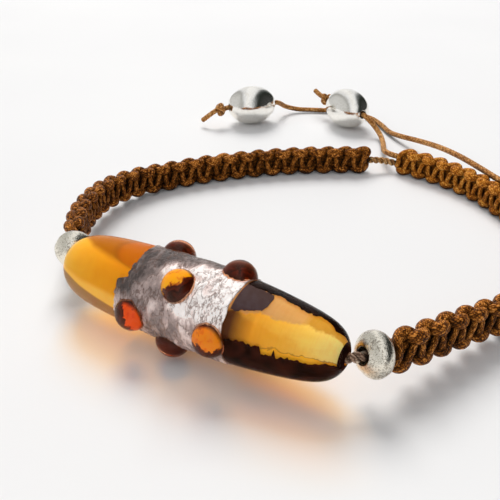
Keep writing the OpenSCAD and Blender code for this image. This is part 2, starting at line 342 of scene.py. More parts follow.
class Tree:
    """Short way to write a material's nodes."""

    def __init__(self, name):
        self.material = bpy.data.materials.new(name)
        self.material.use_nodes = True
        self.tree = self.material.node_tree
        self.tree.nodes.clear()
        self.out = self.tree.nodes.new("ShaderNodeOutputMaterial")

    def set(self, socket, value):
        if isinstance(value, bpy.types.NodeSocket):
            self.tree.links.new(value, socket)
        else:
            socket.default_value = value

    def node(self, kind, output=0, inputs=(), **settings):
        made = self.tree.nodes.new(kind)
        for key, value in settings.items():
            setattr(made, key, value)
        for key, value in dict(inputs).items():
            self.set(made.inputs[key], value)
        return made.outputs[output]

    def math(self, operation, *values):
        return self.node("ShaderNodeMath", inputs=dict(enumerate(values)), operation=operation)

    def chain(self, operation, values):
        """One operation on two or more values, from the first to the last."""
        result = values[0]
        for value in values[1:]:
            result = self.math(operation, result, value)
        return result

    def add(self, *values):
        return self.chain("ADD", values)

    def times(self, *values):
        return self.chain("MULTIPLY", values)

    def minus(self, value, other):
        return self.math("SUBTRACT", value, other)

    def inverse(self, amount):
        return self.minus(1.0, amount)

    def distance(self, value, other):
        return self.math("ABSOLUTE", self.minus(value, other))

    def place(self):
        """The shaded point itself, in metres."""
        return self.node("ShaderNodeTexCoord", output=3)

    def parts(self, vector):
        made = self.tree.nodes.new("ShaderNodeSeparateXYZ")
        self.set(made.inputs[0], vector)
        return tuple(made.outputs)

    def mapped(self):
        """The two numbers that the mesh's own map gives."""
        return self.parts(self.node("ShaderNodeUVMap", uv_map="along"))[:2]

    def noise(self, vector, scale, detail, roughness, distortion=0.0):
        """Soft noise from 0 to 1, with its scale in lumps for each metre."""
        return self.node("ShaderNodeTexNoise", inputs={
            "Vector": vector, "Scale": scale, "Detail": detail, "Roughness": roughness,
            "Distortion": distortion})

    def ramp(self, factor, stops):
        made = self.tree.nodes.new("ShaderNodeValToRGB")
        set_stops(made.color_ramp, stops)
        self.set(made.inputs[0], factor)
        return made.outputs[0]

    def between(self, factor, low, high, start=0.0, end=1.0):
        """A number that goes from low to high as factor goes from start to end."""
        return self.node("ShaderNodeMapRange", inputs={
            "Value": factor, "From Min": start, "From Max": end, "To Min": low, "To Max": high},
            clamp=True)

    def above(self, value, edge, soft):
        """0 below the edge and 1 above it, with a soft border."""
        return self.node("ShaderNodeMapRange", inputs={
            "Value": self.minus(value, edge), "From Min": -soft, "From Max": soft},
            clamp=True, interpolation_type="SMOOTHSTEP")

    def tint(self, value, stops):
        """A colour that changes through the given (value, colour) stops."""
        first, last = stops[0][0], stops[-1][0]
        share = self.between(value, 0.0, 1.0, first, last)
        return self.ramp(share, [((v - first) / (last - first), colour) for v, colour in stops])

    def curve(self, value, points):
        """A number that runs straight between the given (value, number) points."""
        numbers = [number for _, number in points]
        low, high = min(numbers), max(numbers)
        greys = [(v, ((number - low) / (high - low),) * 3) for v, number in points]
        return self.between(self.tint(value, greys), low, high)

    def mix(self, factor, a, b, blend="MIX"):
        made = self.tree.nodes.new("ShaderNodeMix")
        made.data_type = "RGBA"
        made.blend_type = blend
        for socket, value in ((made.inputs[0], factor), (made.inputs[6], a), (made.inputs[7], b)):
            self.set(socket, (*value, 1.0) if isinstance(value, tuple) else value)
        return made.outputs[2]

    def bump(self, height, distance, strength):
        return self.node("ShaderNodeBump", inputs={
            "Height": height, "Distance": distance, "Strength": strength})

    def principled(self, **inputs):
        named = {key.replace("_", " "): value for key, value in inputs.items()}
        for key, value in named.items():
            if isinstance(value, tuple) and key != "Subsurface Radius":
                named[key] = (*value, 1.0)
        return self.node("ShaderNodeBsdfPrincipled", inputs=named)

    def lit_through(self, surface, tint):
        """The surface, which casts a tinted shadow because lamps reach through it."""
        clear = self.node("ShaderNodeBsdfTransparent", inputs={"Color": (*tint, 1.0)})
        path = self.tree.nodes.new("ShaderNodeLightPath")
        return self.node("ShaderNodeMixShader", inputs={
            0: path.outputs["Is Shadow Ray"], 1: surface, 2: clear})

    def done(self, surface, volume=None):
        self.tree.links.new(surface, self.out.inputs["Surface"])
        if volume is not None:
            self.tree.links.new(volume, self.out.inputs["Volume"])
        return self.material


def cord_material(name, dark, middle, light, shine, cells_per_mm=3.1, carriers=11):
    """Braided cord: carriers that cross over and under on the map of the cord. The crowns of the
    carriers carry painted highlight and painted glints, the gaps and crevices painted shade.
    """
    t = Tree(name)
    place = t.place()
    along, turn = t.mapped()
    wander = t.times(t.minus(t.noise(place, 1500.0, 2.0, 0.6), 0.5), 2.2)
    along = t.add(t.times(along, cells_per_mm), wander)
    turn = t.times(turn, float(carriers))
    one = t.add(along, turn)
    other = t.minus(along, turn)
    floor_one = t.math("FLOOR", one)
    floor_other = t.math("FLOOR", other)
    cell = t.node("ShaderNodeCombineXYZ", inputs={0: floor_one, 1: floor_other})
    crossing_tone = t.node("ShaderNodeTexWhiteNoise", inputs={"Vector": cell}, noise_dimensions="2D")
    over = t.math("ABSOLUTE", t.math("MODULO", t.add(floor_one, floor_other), 2.0))
    crown_one = t.math("SINE", t.times(t.math("FRACT", one), math.pi))
    crown_other = t.math("SINE", t.times(t.math("FRACT", other), math.pi))
    # Crowns of the carriers lighter and the gaps between them darker: painted highlight and shade of the
    # weave.
    braid = t.add(t.times(crown_one, t.between(crown_other, 0.45, 1.0), over),
                  t.times(crown_other, t.between(crown_one, 0.45, 1.0), t.inverse(over)))
    blotch = t.noise(place, 330.0, 3.0, 0.6)
    grain = t.noise(place, 5200.0, 2.0, 0.7)
    shade = t.add(t.between(crossing_tone, -0.08, 0.36), t.between(grain, -0.2, 0.3),
                  t.between(braid, 0.0, 0.38), t.between(blotch, -0.16, 0.28))
    # Top stop of the ramp: painted glints on the brightest crossings.
    painted_glint = tuple(min(1.0, 1.5 * part + 0.04) for part in light)
    colour = t.ramp(shade, [(0.2, dark), (0.48, middle), (0.7, light), (0.88, painted_glint)])
    # Darker where other cords hem the cord in: painted crevice shade.
    hidden = t.node("ShaderNodeAmbientOcclusion", 1, {"Distance": 1.5 * MM}, samples=8)
    painted_crevice_shade = tuple(0.25 * part for part in dark)
    colour = t.mix(t.between(hidden, 0.98, 0.0, 0.3, 0.96), colour, painted_crevice_shade)
    return t.done(t.principled(
        Base_Color=colour, Roughness=t.between(grain, 0.28, 0.5), Specular_IOR_Level=shine,
        Specular_Tint=(1.0, 0.75, 0.45),
        Normal=t.bump(t.add(braid, t.times(grain, 0.5)), 0.08 * MM, 1.0)))


def silver_material(name, colour, dark, smoothest, roughest, tarnish, dents):
    """Worn silver: fine dents, soft patches of wear and a scatter of tarnished specks."""
    t = Tree(name)
    place = t.place()
    specks = t.noise(place, 4400.0, 3.0, 0.75)
    patches = t.noise(place, 620.0, 3.0, 0.5)
    stain = t.ramp(t.add(t.times(specks, 0.62), t.times(patches, 0.38)),
                   [(0.5, (0, 0, 0)), (0.57, (1, 1, 1))])
    paint = t.mix(t.times(stain, tarnish), colour, dark)
    return t.done(t.principled(
        Base_Color=paint, Metallic=1.0, Roughness=t.between(patches, smoothest, roughest),
        Normal=t.bump(t.add(specks, patches), dents, 0.8)))


def glass_material(name, tint, shade, absorb, density, ior, gloss):
    """Coloured glass that darkens with depth. Lamps reach through it with the glass's own tint.
    Its index is low, because the photographed glass shows hardly any reflection."""
    t = Tree(name)
    waves = t.noise(t.place(), 260.0, 2.0, 0.5, 0.6)
    glass = t.principled(
        Base_Color=tint, Roughness=0.02, IOR=ior, Transmission_Weight=1.0, Specular_IOR_Level=gloss,
        Normal=t.bump(waves, 0.1 * MM, 0.5))
    volume = t.node("ShaderNodeVolumeAbsorption", inputs={"Color": (*absorb, 1.0), "Density": density})
    return t.done(t.lit_through(glass, shade), volume)


def bead_place(t):
    """Millimetres along the glass bead from its middle, and degrees round it from the front."""
    middle_x, middle_y, middle_z = (float(part) for part in BEAD_MIDDLE)
    x, y, z = t.parts(t.place())
    turn = t.math("ARCTAN2", t.minus(z, middle_z), t.minus(middle_y, y))
    return t.math("DIVIDE", t.minus(x, middle_x), MM), t.math("DEGREES", turn)


def stretched_noise(t, stretch, scale, detail, distortion=0.0):
    """Noise that is stretched by its own amount in each direction."""
    drawn = t.node("ShaderNodeMapping", inputs={"Vector": t.place(), "Scale": stretch})
    return t.noise(drawn, scale, detail, 0.6, distortion)


def left_honey(t, x, turn):
    """Left end: pale tip, golden body, a darker top of painted shade with a dark seam, a painted highlight
    strip low down and painted shade below it.
    """
    colour = t.tint(x, [(-18.2, (0.76, 0.5, 0.09)), (-15.0, (0.83, 0.45, 0.04)),
                        (-11.0, (0.83, 0.37, 0.014)), (-7.0, (0.79, 0.31, 0.008))])
    # Deeper, darker top with its seam: painted shade.
    top = t.above(turn, t.curve(x, [(-18.2, 120), (-15, 88), (-13.4, 74), (-10.4, 64), (-7, 57)]), 7.0)
    colour = t.mix(t.times(top, 0.9), colour, (0.38, 0.12, 0.001))
    seam = t.curve(turn, [(55, -6.4), (58, -7.6), (64, -9.2), (75, -9.9), (92, -10.3), (125, -9.4)])
    colour = t.mix(t.times(t.above(x, seam, 0.35), top), colour, (0.5, 0.14, 0.001))
    from_seam = t.distance(x, seam)
    colour = t.mix(t.times(t.between(from_seam, 0.55, 0.0, 0.1, 0.7), top), colour, (0.3, 0.1, 0.004))
    # Pale strip low down: painted highlight.
    highlight_top = t.curve(x, [(-18.2, 26), (-16, 19), (-13, 13), (-7.6, 9)])
    highlight_low = t.curve(x, [(-18.2, 16), (-15.5, 10), (-13.2, 0), (-10.7, -7), (-7.6, -14)])
    painted_highlight = t.times(t.inverse(t.above(turn, highlight_top, 5.0)), t.above(turn, highlight_low, 3.0))
    colour = t.mix(t.times(painted_highlight, 0.8), colour, (0.98, 0.6, 0.12))
    # Grey-brown band along the bottom, fading out further round: painted shade.
    shade = t.times(t.inverse(t.above(turn, highlight_low, 3.0)), t.above(turn, -75.0, 12.0))
    return t.mix(t.times(shade, 0.85), colour, (0.3, 0.17, 0.1))


def right_honey(t, x, turn):
    """Right end: painted shade by the leaf, amber and then pale towards the tip, with a painted orange
    highlight low down and painted tan reflections on top.
    """
    colour = t.tint(x, [(6.4, (0.85, 0.42, 0.05)), (9.5, (0.9, 0.48, 0.06)), (12.0, (0.92, 0.56, 0.09)),
                        (15.0, (0.93, 0.68, 0.17)), (18.0, (0.96, 0.8, 0.34))])
    low = t.inverse(t.above(turn, t.curve(x, [(6, 42), (10, 44), (14, 36), (18, 10)]), 7.0))
    colour = t.mix(t.times(low, t.between(x, 0.85, 0.25, 9.0, 16.0)), colour, (0.84, 0.38, 0.03))
    line = t.curve(x, [(10.4, 12), (13, 14), (15.6, 18), (17.2, 15), (18, 5)])
    # Orange band under the line: painted highlight.
    under = t.times(t.inverse(t.above(turn, line, 1.5)), t.above(x, 10.3, 0.3))
    colour = t.mix(under, colour, (1.0, 0.5, 0.035))
    from_line = t.distance(turn, line)
    colour = t.mix(t.times(t.between(from_line, 0.6, 0.0, 0.3, 2.2), t.above(x, 10.3, 0.3)), colour,
                   (0.3, 0.12, 0.02))
    # Darker brown next to the leaf: painted shade.
    leaf_shade = t.times(t.between(x, 1.0, 0.0, 6.9, 9.4), t.inverse(t.above(turn, 52.0, 8.0)))
    colour = t.mix(leaf_shade, colour, (0.1, 0.035, 0.015))
    # Tan clouds on top: painted reflection.
    reflection_low = t.curve(x, [(7, 51), (10, 62), (12, 61), (14, 70), (15.5, 73), (17.2, 88)])
    painted_reflection = t.above(turn, reflection_low, 3.0)
    cloud = t.tint(x, [(10.0, (0.6, 0.36, 0.2)), (13.6, (0.66, 0.38, 0.17)), (14.4, (0.58, 0.3, 0.04)),
                       (17.0, (0.66, 0.36, 0.05))])
    return t.mix(t.times(painted_reflection, 0.9), colour, cloud)


def honey_material(name):
    """Milky honey glass, with streaks along the bead and zones at each end that are partly its own
    colour and partly painted highlight, reflection and shade. It glows a little: painted light.
    """
    t = Tree(name)
    x, turn = bead_place(t)
    streaks = stretched_noise(t, (1.0, 2.6, 2.6), 240.0, 4.0, 0.8)
    ragged = t.noise(t.place(), 900.0, 3.0, 0.6)
    ribs = stretched_noise(t, (6.0, 0.5, 0.5), 900.0, 2.0)
    ragged_turn = t.add(turn, t.between(ragged, -5.0, 5.0, 0.3, 0.7))
    colour = t.mix(t.above(x, 0.0, 1.0), left_honey(t, x, turn), right_honey(t, x, ragged_turn))
    colour = t.mix(t.between(streaks, 0.35, 0.0, 0.35, 0.6), colour, (0.9, 0.72, 0.5), "MULTIPLY")
    colour = t.mix(t.between(ribs, 0.12, 0.0, 0.35, 0.55), colour, (0.8, 0.62, 0.4), "MULTIPLY")
    # Emission_Strength makes the honey glow a little: painted light.
    honey = t.principled(
        Base_Color=colour, Roughness=0.4, Specular_IOR_Level=0.1, Subsurface_Weight=0.5,
        Subsurface_Radius=(1.0, 0.45, 0.1), Subsurface_Scale=1.2 * MM, Emission_Color=colour,
        Emission_Strength=0.1, Normal=t.bump(ribs, 0.02 * MM, 0.4))
    return t.done(t.lit_through(honey, (1.0, 0.87, 0.25)))


def painted_sheet_material(name, colour, fleck, scale):
    """Flecked sheet inside the clear glass: the dark ones are painted shade, the mauve one a painted
    reflection.
    """
    t = Tree(name)
    cloud = t.noise(t.place(), scale, 4.0, 0.65, 0.6)
    paint = t.ramp(cloud, [(0.4, colour), (0.68, fleck)])
    layer = t.principled(Base_Color=paint, Roughness=0.45, Specular_IOR_Level=0.0,
                         Normal=t.bump(cloud, 0.05 * MM, 0.6))
    return t.done(t.lit_through(layer, (1.0, 0.9, 0.68)))


def leaf_material(name):
    """Wrinkled silver leaf: bright pinkish crinkles that glow as painted light, mauve-grey flats,
    brown lines of painted shade in the creases. Lamps reach through it, as its shadow in the photo
    is pale and warm."""
    t = Tree(name)
    x, turn = bead_place(t)
    folds = stretched_noise(t, (1.6, 0.8, 0.8), 430.0, 5.0, 0.5)
    fine = stretched_noise(t, (1.5, 0.9, 0.9), 820.0, 5.0, 0.3)
    patches = t.noise(t.place(), 190.0, 3.0, 0.6, 0.4)
    crest = t.above(turn, t.curve(x, [(-6.5, 60), (-2, 82), (2, 96), (6.4, 112)]), 14.0)
    edge = t.times(t.between(x, 1.0, 0.0, -5.6, -4.2), t.above(turn, 22.0, 10.0))
    # Lighter right half, between low down and the crest: painted light.
    bright = t.times(t.above(x, t.curve(turn, [(0, 2.5), (40, -1.0), (90, -3.0)]), 1.6),
                     t.above(turn, 16.0, 12.0), t.inverse(crest))
    dimmed = t.times(t.math("MAXIMUM", crest, edge), 0.15)
    tone = t.add(t.times(folds, 0.55), t.times(patches, 0.45),
                 t.times(t.minus(fine, 0.5), t.between(bright, 0.3, 1.0)),
                 t.minus(t.times(bright, 0.29), dimmed))
    colour = t.ramp(tone, [
        (0.3, (0.09, 0.068, 0.062)), (0.42, (0.28, 0.215, 0.2)), (0.54, (0.56, 0.43, 0.4)),
        (0.63, (1.0, 0.84, 0.79)), (0.72, (1.0, 0.94, 0.91))])
    # Brown lines in the creases: painted shade.
    painted_crease_shade = t.distance(folds, 0.5)
    colour = t.mix(t.between(painted_crease_shade, 0.85, 0.0, 0.0, 0.028), colour, (0.12, 0.06, 0.04))
    # Small dark lines in the lighter crinkles: painted shade.
    painted_fine_shade = t.distance(fine, 0.47)
    colour = t.mix(t.times(t.between(painted_fine_shade, 0.8, 0.0, 0.0, 0.04), bright), colour, (0.24, 0.13, 0.1))
    height = t.add(folds, t.times(fine, t.between(bright, 0.3, 0.7)))
    # Emission_Strength makes the lighter part glow: painted light.
    foil = t.principled(
        Base_Color=colour, Metallic=0.25, Roughness=t.between(fine, 0.18, 0.4, 0.3, 0.7),
        Specular_IOR_Level=0.4, Emission_Color=colour, Emission_Strength=t.between(bright, 0.0, 0.16),
        Normal=t.bump(height, 0.34 * MM, 1.0))
    return t.done(t.lit_through(foil, (0.88, 0.85, 0.81)))


def floor_material(name):
    """Pale, slightly rough board."""
    t = Tree(name)
    place = t.place()
    grain = t.noise(place, 900.0, 3.0, 0.6)
    tone = t.noise(place, 14.0, 2.0, 0.5)
    colour = t.ramp(tone, [(0.3, (0.79, 0.79, 0.8)), (0.7, (0.82, 0.82, 0.825))])
    return t.done(t.principled(
        Base_Color=colour, Roughness=0.55, Specular_IOR_Level=0.3, Emission_Color=(0.97, 0.97, 1.0),
        Emission_Strength=0.02, Normal=t.bump(grain, 0.02 * MM, 0.5)))


def heart_material(name, bright, border):
    """Heart of a glass dot in the dot's own hue: a painted lit patch with a jagged border on near-black
    painted shade, a dark rim of painted shade and a painted glow. Its map holds how far a point lies
    into the lit side, and its reach as a share of the rim's."""
    t = Tree(name)
    amount, reach = t.mapped()
    place = t.place()
    jagged = t.noise(place, 560.0, 4.0, 0.62, 0.5)
    streak = t.noise(place, 1500.0, 2.0, 0.6, 0.4)
    tone = t.add(amount, t.between(jagged, -0.26, 0.26, 0.25, 0.75))
    # Lit side in the dot's own hue and near-black unlit side: painted light and shade.
    colour = t.ramp(tone, [(0.05, (0.07, 0.01, 0.004)), (0.2, (0.04, 0.006, 0.002)),
                           (0.3, (0.01, 0.002, 0.001)), (0.38, (0.1, 0.017, 0.005)),
                           (0.45, (0.02, 0.004, 0.002)), (0.475, border), (0.51, bright),
                           (0.85, bright), (0.95, border)])
    colour = t.mix(t.between(streak, 0.6, 0.0, 0.35, 0.5), colour, (0.75, 0.45, 0.25), "MULTIPLY")
    # Dark rim round the heart: painted shade.
    colour = t.mix(t.above(reach, 0.84, 0.09), colour, (0.03, 0.007, 0.003))
    # Emission_Strength gives the heart a painted glow.
    return t.done(t.principled(
        Base_Color=colour, Roughness=0.35, Specular_IOR_Level=0.3, Emission_Color=colour,
        Emission_Strength=0.25, Normal=t.bump(jagged, 0.08 * MM, 0.6)))


def braid_relief(cells_per_mm, carriers, depth):
    """Radius change of crossing carriers, coarser than the cord material's own pattern."""
    def relief(u, v):
        a = np.sin(2 * np.pi * (cells_per_mm * u + carriers * v))
        b = np.sin(2 * np.pi * (cells_per_mm * u - carriers * v))
        return depth * (np.maximum(a, b) - 0.4)
    return relief


def knot_path(half_knots, half, front):
    """Way of one knotting strand along a flat square-knot band, as along, across, out and radius."""
    out_and_back = BAR_TO_LOOP + [(half - s, w, h, r) for s, w, h, r in BAR_TO_LOOP[-2:0:-1]]
    path = []
    for n in range(half_knots):
        side = 1 if n % 2 == 0 else -1
        path += [(n * half + s, side * w, h, r) for s, w, h, r in out_and_back]
    side = 1 if half_knots % 2 == 0 else -1
    end = half_knots * half
    path += [(end + s, side * w, h, r) for s, w, h, r in BAR_TO_LOOP[:4]]
    path += [(end + 0.1, side * 1.1, -0.35, 0.46), (end + 0.5, side * 0.5, -0.1, 0.42)]
    start = [(-0.4, 0.3, 0.1, 0.42), (-0.45, -0.4, 0.2, 0.46), (-0.3, -0.75, 0.6, 0.5)]
    path = np.array(start + path, float)
    path[:, 1:3] *= front
    return path


def knotted_band(node, points, half_knots, material):
    """Square-knot band: two knotting strands tied round three straight core cords."""
    along = Along(points)
    length = along.reach / MM
    half = (length - 2 * FIRST_BAR) / half_knots
    shape = Shape()

    def laid(path):
        place, side, up = along.frames(path[:, 0] * MM)
        return place + side * (path[:, 2:3] * MM) + up * (path[:, 1:2] * MM)

    for front in (1, -1):
        path = smooth(knot_path(half_knots, half, front), 6)
        path[:, 0] += FIRST_BAR + LEAN * path[:, 1] - SLIP * path[:, 2]
        line = laid(path)
        even = resample(line)
        radius = np.interp(arc_lengths(even), arc_lengths(line), path[:, 3]) * MM
        shape.tube(even, radius, 14, taper=0.3 * MM)
    for across in BAND_CORES:
        s = np.linspace(CORE_INSET, length - CORE_INSET, int(length * 2))
        core = np.stack([s, np.full_like(s, across), np.zeros_like(s)], axis=1)
        shape.tube(laid(core), BAND_CORE_R, 8)
    return shape.build(node + "_look", material, "knotted_cord", node)


def twisted_cord(node, points, material):
    """Two-ply cord: two round plies that wind round each other along a route."""
    line = resample(smooth(points))
    a, b = transported(line)
    turn = 2 * np.pi * arc_lengths(line) / PLY_PITCH
    shape = Shape()
    for start in (0, np.pi):
        offset = a * np.cos(turn + start)[:, None] + b * np.sin(turn + start)[:, None]
        shape.tube(line + offset * PLY_OFFSET, PLY_R, 10)
    return shape.build(node + "_look", material, "core_cord", node)


def tail_cord(node, points, material):
    """A braided tail, and the line that it follows."""
    line = resample(smooth(points))
    relief = braid_relief(cells_per_mm=1.2, carriers=3, depth=0.07)
    shape = Shape().tube(line, TAIL_R, 14, relief, taper=0.25 * MM)
    return shape.build(node + "_look", material, "tail_cord", node), line[::4]


def axes(direction):
    """Three unit directions, the first one along the given direction."""
    x = unit(np.array(direction, float))
    y = unit(np.cross([0, 0, 1], x))
    return x, y, np.cross(x, y)


def lathe(profile, at, direction, around, dents=0.0, seed=0.0):
    """Shape of a closed profile of (along, radius) points turned about a direction. dents is the
    depth of its dents, and seed chooses where they lie."""
    x, y, z = axes(direction)
    turn = 2 * np.pi * np.arange(around) / around
    along, radius = profile[:, 0], profile[:, 1]
    rings = (at + along[:, None, None] * x + radius[:, None, None]
             * (np.cos(turn)[None, :, None] * y + np.sin(turn)[None, :, None] * z))
    if dents:
        outward = unit(rings - at)
        shift = Vector((seed, 0, 0))
        lumps = [noise.noise(Vector(p) / DENT_SIZE + shift) for p in rings.reshape(-1, 3)]
        rings = rings + outward * (np.array(lumps).reshape(rings.shape[:2])[..., None] * dents)
    return Shape().grid(np.vstack([rings, rings[:1]]), capped=False)


def drilled_profile(length, radius, bore):
    """Half section of an oval bead with a rounded rim at each end of its hole."""
    limit = math.acos((bore + RIM_R) / radius)
    outer = [(length / 2 * math.sin(t), radius * math.cos(t)) for t in np.linspace(-limit, limit, 49)]
    end = length / 2 * math.sin(limit)
    turn = np.linspace(0, math.pi / 2, 6)[1:]
    right = [(end - RIM_DEPTH * (1 - math.cos(t)), bore + RIM_R - RIM_R * math.sin(t)) for t in turn]
    left = [(-along, r) for along, r in right[::-1]]
    wall = [(along, bore) for along in np.linspace(right[-1][0], left[0][0], 9)[1:-1]]
    return np.array(outer + right + wall + left)


def drilled_bead(node, at, direction, length, radius, bore, material, slot, dents, seed):
    """A dented silver bead with its hole."""
    shape = lathe(drilled_profile(length, radius, bore), route(at), direction, 72, dents, seed)
    return shape.build(node + "_look", material, slot, node)


def glass_r(x):
    """Radius of the glass bead at a distance from its middle."""
    u = 2 * np.asarray(x, float) / GLASS_LEN
    end_d = np.where(u < 0, LEFT_END_D, RIGHT_END_D)
    bluntness = np.where(u < 0, LEFT_END_BLUNTNESS, RIGHT_END_BLUNTNESS)
    taper = GLASS_D / 2 - (GLASS_D - end_d) / 2 * u * u
    return taper * np.sqrt(np.clip(1 - np.abs(u) ** bluntness, 0, 1))


def bored(x, r, bore):
    """Half section of points at x with radius r, closed by the wall of its hole."""
    wall = np.linspace(x[-1], x[0], 30)
    return np.stack([np.append(x, wall), np.append(r, np.full(30, bore))], axis=1)


def glass_body(material):
    """Tapered glass body with its hole, and a seat for the leaf round its middle."""
    x = GLASS_LEN / 2 * np.sin(np.linspace(-np.pi / 2, np.pi / 2, 141))
    r = glass_r(x)
    seat = (x > LEAF_LEFT) & (x < LEAF_RIGHT)
    r = np.where(seat, r - LEAF_T - SEAT_PLAY, r)
    keep = r > GLASS_BORE_R + LEAST_WALL
    profile = bored(x[keep], r[keep], GLASS_BORE_R)
    shape = lathe(profile, BEAD_MIDDLE, ALONG_BEAD, 128)
    return shape.build("glass_body", material, "amber_glass", "glass_bead")


def honey_core(material):
    """Milky honey rod round the hole: it nearly fills the left end and is slimmer in the right end."""
    x = np.linspace(-GLASS_LEN / 2 + 0.25 * MM, GLASS_LEN / 2 - 0.3 * MM, 120)
    share = np.interp(x / MM, [-18, LEAF_LEFT / MM, 0, LEAF_RIGHT / MM, 16, 18],
                      [0.95, 0.93, 0.8, 0.89, 0.87, 0.75])
    wrinkle = np.array([noise.noise(Vector((v / (0.22 * MM), 0, 5))) for v in x]) * 0.008 * MM
    r = np.maximum(glass_r(x) * share + wrinkle, GLASS_BORE_R + CORE_WALL)
    profile = bored(x, r, GLASS_BORE_R + CORE_PLAY)
    shape = lathe(profile, BEAD_MIDDLE, ALONG_BEAD, 96)
    return shape.build("glass_core", material, "amber_glass")


def bead_point(x, angle, r):
    """Point at a distance along the glass bead, an angle round it from the front, and a radius."""
    return BEAD_MIDDLE + np.stack([x, -r * np.cos(angle), r * np.sin(angle)], axis=-1)


def ragged_edge(count, phase, scale, octaves=4):
    """A closed round of soft noise, one number for each step round the bead."""
    turn = 2 * np.pi * np.arange(count) / count
    places = [Vector((math.cos(a) * scale, math.sin(a) * scale, phase)) for a in turn]
    return np.array([noise.fractal(p, 0.9, 2.0, octaves) for p in places])


def crumple(x, angle):
    """Height of the leaf's folds at a place along the bead and an angle round it."""
    p = Vector((x / MM * 1.3, -math.cos(angle) * 4.9, math.sin(angle) * 4.9))
    broad = noise.ridged_multi_fractal(p * 0.45, 1.0, 2.1, 3, 1.0, 2.0) - 1.1
    fine = noise.turbulence(p * 1.3, 3, True)
    return (broad * 0.1 + (0.9 - fine) * 0.12) * MM


def silver_sleeve(material):
    """Sleeve of crumpled leaf with a torn left edge, as a thin closed shell."""
    rows, around = 130, 330
    share = np.linspace(0, 1, rows)[:, None]
    degrees = 360 * np.arange(around) / around
    angle = np.radians(degrees)
    tear = np.interp(degrees, [0, 20, 33, 37, 44, 58, 75, 95, 140, 200, 260, 325, 360],
                     [-7.7, -7.5, -7.6, -7.4, -6.5, -6.4, -6.3, -6.4, -7.2, -6.2, -7.4, -8.1, -7.7])
    left = (tear + 0.22 * ragged_edge(around, 3.0, 9.0)) * MM
    right = LEAF_RIGHT + 0.12 * MM * ragged_edge(around, 9.0, 3.0, 2)
    x = left + (right - left) * share
    r0 = glass_r(x)
    r = r0 + np.array([[crumple(v, a) for v, a in zip(row, angle)] for row in x])
    outer = bead_point(x, angle, r)
    inner = bead_point(x, angle, np.minimum(r - 0.07 * MM, r0 - 0.14 * MM))
    shape = Shape().grid(np.vstack([outer, inner[::-1], outer[:1]]), capped=False)
    return shape.build("leaf_sleeve", material, "silver_leaf", "silver_leaf")


def painted_sheet(name, borders, share, jag, material, seed):
    """Thin closed sheet just under the surface of the clear glass, onto which shade and reflection
    are painted. borders are (along, low angle, high angle), in millimetres and degrees, and jag is
    how far its edges wander, in degrees."""
    borders = np.array(borders, float)
    rows, across = 150, 40
    x = np.linspace(borders[0, 0], borders[-1, 0], rows)
    ragged = np.array([[noise.fractal(Vector((v * 1.9, side * 7.0, seed)), 0.8, 2.1, 4) for v in x]
                       for side in (0, 1)]) * jag
    low = np.interp(x, borders[:, 0], borders[:, 1]) + ragged[0]
    high = np.interp(x, borders[:, 0], borders[:, 2]) + ragged[1]
    angle = np.radians(low[:, None] + (high - low)[:, None] * np.linspace(0, 1, across)[None, :])
    x = np.repeat(x[:, None] * MM, across, axis=1)
    outer = bead_point(x, angle, glass_r(x) * share)
    inner = bead_point(x, angle, glass_r(x) * share - LAYER_T)
    shape = Shape().grid(np.concatenate([outer, inner[:, ::-1]], axis=1))
    return shape.build(name, material, "amber_glass")


def right_end_painted_sheets(black, dark, mauve):
    """Dark sheets of painted shade along the top, the bottom and the tip of the right end, and a mauve
    sheet of painted reflection by the leaf.
    """
    painted_sheet("dark_top", [(6.5, 98, 190), (9, 98, 190), (10.2, 103, 186), (11.5, 99, 180), (13, 96, 172),
                           (14.2, 95, 170), (14.6, 103, 165), (16.2, 104, 160), (16.8, 94, 150),
                           (17.3, 104, 145), (17.9, 118, 140)], 0.955, 5.0, black, 2.0)
    painted_sheet("dark_low", [(6.5, -95, 9), (8, -95, 12), (9.4, -95, 12), (10.2, -95, 12), (10.5, -95, 14),
                           (10.8, -95, 3), (11.9, -95, 4), (12.1, -92, 15), (12.35, -92, 4), (13.6, -90, 8),
                           (15, -88, 8), (15.6, -88, 6), (17, -85, 12), (17.7, -80, 8), (18.1, -70, -4)],
              0.955, 4.0, dark, 5.0)
    painted_sheet("dark_tip", [(17.95, -178, 178), (18.32, -178, 178)], 0.97, 0.0, dark, 3.0)
    painted_sheet("painted_mauve_reflection", [(6.5, 49, 99), (7.4, 51, 99), (8.3, 57, 99), (9.6, 63, 98), (9.9, 72, 90)],
              0.94, 2.5, mauve, 8.0)


def dot_frame(ring, degrees):
    """Where a dot stands on the bead: its place along, its way out, and the way up round it."""
    x = ring * DOT_RING_GAP
    angle = math.radians(degrees)
    out = np.array([0, -math.cos(angle), math.sin(angle)])
    up = np.array([0, math.sin(angle), math.cos(angle)])
    return x, out, up


